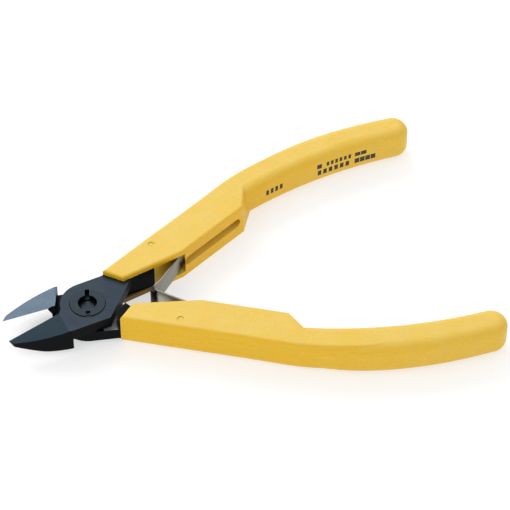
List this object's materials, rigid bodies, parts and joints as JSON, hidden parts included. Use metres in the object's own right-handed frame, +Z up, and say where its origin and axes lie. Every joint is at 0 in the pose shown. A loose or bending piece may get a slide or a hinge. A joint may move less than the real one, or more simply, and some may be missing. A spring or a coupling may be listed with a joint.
{
  "type": "flush cutter",
  "caption": "Small side cutter for electronics work: lap-jointed steel halves on a slotted pivot nut, moulded grips, and hooked leaf springs that push it open.",
  "frame": {"origin": "on the pivot axis, in the plane of the head's flat underside", "axes": "+X back along the middle of the tool, towards the grips; +Y towards grip A; +Z up, out of the face with the pivot nut"},
  "size_m": [0.1077, 0.0728, 0.0088],
  "materials": {
    "forged_steel": "black-oxide finish, satin, with a fine ground grain",
    "pivot_steel": "black-oxide finish, turned",
    "grip_plastic": "satin moulded plastic, yellow",
    "spring_steel": "bright rolled spring steel"
  },
  "bodies": {
    "half_a": {"cutter_half_a": "forged_steel", "grip_a": "grip_plastic"},
    "half_b": {"cutter_half_b": "forged_steel", "grip_b": "grip_plastic", "pivot_screw": "pivot_steel", "pivot_nut": "pivot_steel"},
    "leaf_a": {"leaf_spring_a": "spring_steel"},
    "leaf_b": {"leaf_spring_b": "spring_steel"}
  },
  "joints": [
    {"name": "cutter_pivot", "type": "hinge", "parent": "half_a", "child": "half_b", "pos_m": [0, 0, 0], "axis": [0, 0, 1], "range_deg": [0, 18], "stiffness_Nm_per_rad": 1.2},
    {"name": "leaf_a_flex", "type": "hinge", "parent": "half_a", "child": "leaf_a", "pos_m": [0.0245, 0.009, 0], "axis": [0, 0, 1], "range_deg": [-12.9, 0]},
    {"name": "leaf_b_flex", "type": "hinge", "parent": "half_b", "child": "leaf_b", "pos_m": [0.0245, -0.009, 0], "axis": [0, 0, 1], "range_deg": [0, 12.9]}
  ],
  "couplings": [
    {"joint": "leaf_a_flex", "follows": "cutter_pivot", "ratio": -0.71},
    {"joint": "leaf_b_flex", "follows": "cutter_pivot", "ratio": 0.71}
  ]
}
